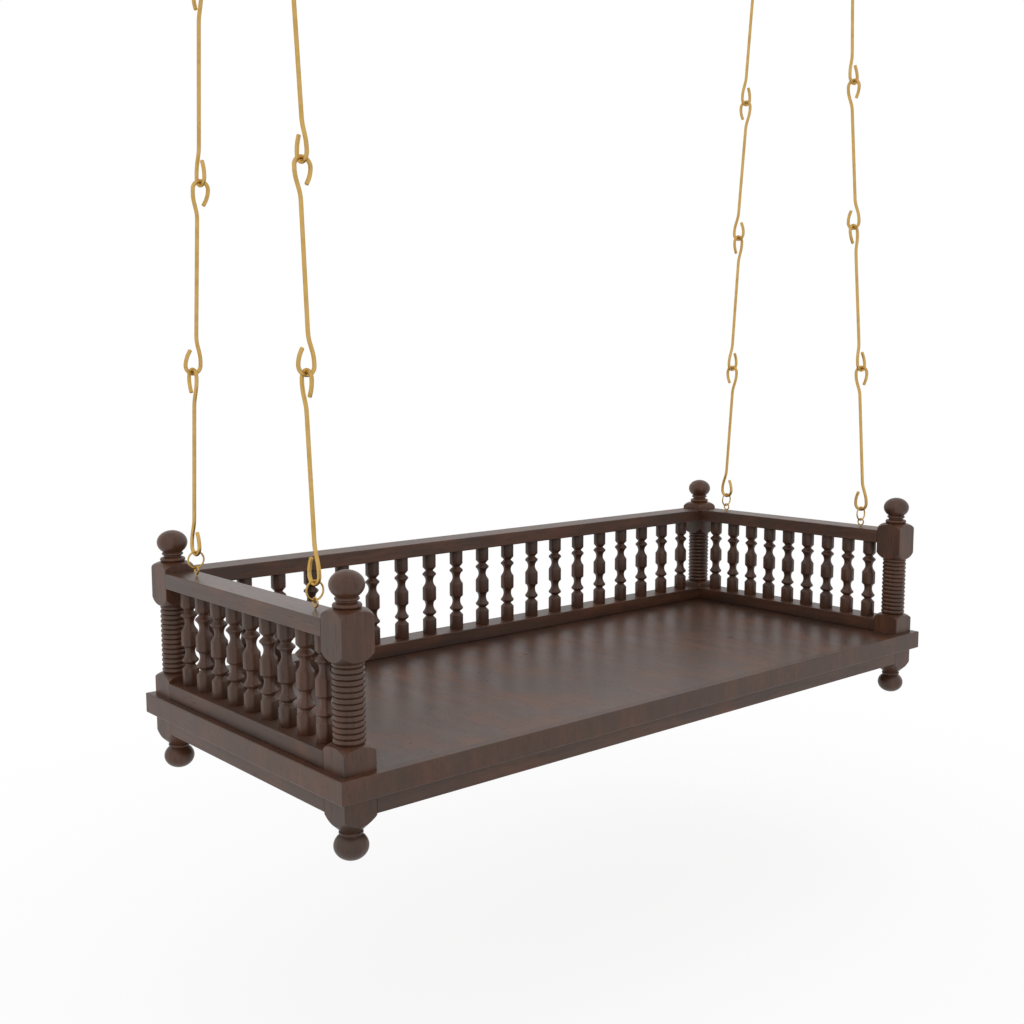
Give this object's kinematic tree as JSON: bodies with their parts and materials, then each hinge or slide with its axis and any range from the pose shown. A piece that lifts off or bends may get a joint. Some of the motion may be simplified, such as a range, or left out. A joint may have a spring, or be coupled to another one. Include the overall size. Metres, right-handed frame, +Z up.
{
  "type": "jhoola swing",
  "caption": "Low railed wooden bench on ball feet, hung from the ceiling on chains of long hooked brass rods so that it swings fore and aft.",
  "frame": {"origin": "on the plane of the feet, under the middle of the deck", "axes": "+Z up, X along the bench with left at -X, +Y towards the railed back, -Y towards the open front"},
  "size_m": [1.3716, 0.5842, 1.5631],
  "materials": {
    "planed_wood": "satin dark walnut stain",
    "deck_veneer": "satin dark walnut stain, long grain",
    "turned_wood": "satin dark walnut stain",
    "turned_stock": "satin dark walnut stain",
    "underframe_wood": "plain oiled hardwood",
    "beech_dowels": "fluted dowel",
    "brass_rods": "satin brass, drawn rod",
    "brass_wire": "satin brass wire",
    "brass_castings": "polished brass",
    "zinc_fasteners": "zinc plated"
  },
  "bodies": {
    "ceiling": {"ceiling_hooks": "brass_castings"},
    "top_ring_front_left": {"top_ring_front_left": "brass_wire"},
    "chain_front_left": {"rod_front_left_1": "brass_rods", "rod_front_left_2": "brass_rods", "rod_front_left_3": "brass_rods", "rod_front_left_4": "brass_rods"},
    "lower_ring_front_left": {"lower_ring_front_left": "brass_wire"},
    "top_ring_front_right": {"top_ring_front_right": "brass_wire"},
    "chain_front_right": {"rod_front_right_1": "brass_rods", "rod_front_right_2": "brass_rods", "rod_front_right_3": "brass_rods", "rod_front_right_4": "brass_rods"},
    "lower_ring_front_right": {"lower_ring_front_right": "brass_wire"},
    "top_ring_back_left": {"top_ring_back_left": "brass_wire"},
    "chain_back_left": {"rod_back_left_1": "brass_rods", "rod_back_left_2": "brass_rods", "rod_back_left_3": "brass_rods", "rod_back_left_4": "brass_rods"},
    "lower_ring_back_left": {"lower_ring_back_left": "brass_wire"},
    "top_ring_back_right": {"top_ring_back_right": "brass_wire"},
    "chain_back_right": {"rod_back_right_1": "brass_rods", "rod_back_right_2": "brass_rods", "rod_back_right_3": "brass_rods", "rod_back_right_4": "brass_rods"},
    "lower_ring_back_right": {"lower_ring_back_right": "brass_wire"},
    "seat": {"apron_back": "planed_wood", "apron_front": "planed_wood", "apron_left": "planed_wood", "apron_right": "planed_wood", "batten_screws": "zinc_fasteners", "bottom_rail_back": "planed_wood", "bottom_rail_left": "planed_wood", "bottom_rail_right": "planed_wood", "corner_braces": "underframe_wood", "deck_battens": "underframe_wood", "deck_panel": "deck_veneer", "eye_screws": "brass_wire", "leg_back_left": "turned_stock", "leg_back_right": "turned_stock", "leg_front_left": "turned_stock", "leg_front_right": "turned_stock", "post_back_left": "turned_stock", "post_back_right": "turned_stock", "post_bolts": "zinc_fasteners", "post_front_left": "turned_stock", "post_front_right": "turned_stock", "rail_dowels": "beech_dowels", "rim_back": "planed_wood", "rim_front": "planed_wood", "rim_left": "planed_wood", "rim_right": "planed_wood", "spindles_back": "turned_wood", "spindles_left": "turned_wood", "spindles_right": "turned_wood", "top_rail_back": "planed_wood", "top_rail_left": "planed_wood", "top_rail_right": "planed_wood"}
  },
  "joints": [
    {"name": "swing", "type": "hinge", "parent": "ceiling", "child": "top_ring_front_left", "pos_m": [-0.6348, -0.11801, 1.51209], "axis": [1, 0, 0], "range_deg": [-15, 15]},
    {"name": "sway", "type": "hinge", "parent": "top_ring_front_left", "child": "chain_front_left", "pos_m": [-0.63489, -0.1191, 1.49122], "axis": [0, 1, 0], "range_deg": [-5, 5]},
    {"name": "ring_level_front_left", "type": "hinge", "parent": "chain_front_left", "child": "lower_ring_front_left", "pos_m": [-0.6474, -0.17429, 0.36339], "axis": [0, 1, 0], "range_deg": [-5, 5]},
    {"name": "swing_front_right", "type": "hinge", "parent": "ceiling", "child": "top_ring_front_right", "pos_m": [0.6348, -0.11801, 1.51209], "axis": [1, 0, 0], "range_deg": [-15, 15]},
    {"name": "sway_front_right", "type": "hinge", "parent": "top_ring_front_right", "child": "chain_front_right", "pos_m": [0.63489, -0.1191, 1.49122], "axis": [0, 1, 0], "range_deg": [-5, 5]},
    {"name": "ring_level_front_right", "type": "hinge", "parent": "chain_front_right", "child": "lower_ring_front_right", "pos_m": [0.6474, -0.17429, 0.36339], "axis": [0, 1, 0], "range_deg": [-5, 5]},
    {"name": "swing_back_left", "type": "hinge", "parent": "ceiling", "child": "top_ring_back_left", "pos_m": [-0.6348, 0.11801, 1.51209], "axis": [1, 0, 0], "range_deg": [-15, 15]},
    {"name": "sway_back_left", "type": "hinge", "parent": "top_ring_back_left", "child": "chain_back_left", "pos_m": [-0.63489, 0.1191, 1.49122], "axis": [0, 1, 0], "range_deg": [-5, 5]},
    {"name": "ring_level_back_left", "type": "hinge", "parent": "chain_back_left", "child": "lower_ring_back_left", "pos_m": [-0.6474, 0.17429, 0.36339], "axis": [0, 1, 0], "range_deg": [-5, 5]},
    {"name": "swing_back_right", "type": "hinge", "parent": "ceiling", "child": "top_ring_back_right", "pos_m": [0.6348, 0.11801, 1.51209], "axis": [1, 0, 0], "range_deg": [-15, 15]},
    {"name": "sway_back_right", "type": "hinge", "parent": "top_ring_back_right", "child": "chain_back_right", "pos_m": [0.63489, 0.1191, 1.49122], "axis": [0, 1, 0], "range_deg": [-5, 5]},
    {"name": "ring_level_back_right", "type": "hinge", "parent": "chain_back_right", "child": "lower_ring_back_right", "pos_m": [0.6474, 0.17429, 0.36339], "axis": [0, 1, 0], "range_deg": [-5, 5]},
    {"name": "seat_tilt", "type": "hinge", "parent": "lower_ring_front_left", "child": "seat", "pos_m": [-0.6474, -0.175, 0.3415], "axis": [1, 0, 0], "range_deg": [-10.2, 10.2]}
  ],
  "couplings": [
    {"joint": "ring_level_front_left", "follows": "sway", "ratio": -0.98068},
    {"joint": "ring_level_front_right", "follows": "sway", "ratio": -0.98068},
    {"joint": "swing_front_right", "follows": "swing", "ratio": 1},
    {"joint": "sway_front_right", "follows": "sway", "ratio": 1},
    {"joint": "ring_level_back_left", "follows": "sway", "ratio": -0.98068},
    {"joint": "swing_back_left", "follows": "swing", "ratio": 1},
    {"joint": "sway_back_left", "follows": "sway", "ratio": 1},
    {"joint": "ring_level_back_right", "follows": "sway", "ratio": -0.98068},
    {"joint": "swing_back_right", "follows": "swing", "ratio": 1},
    {"joint": "sway_back_right", "follows": "sway", "ratio": 1},
    {"joint": "seat_tilt", "follows": "swing", "ratio": -0.67436}
  ]
}
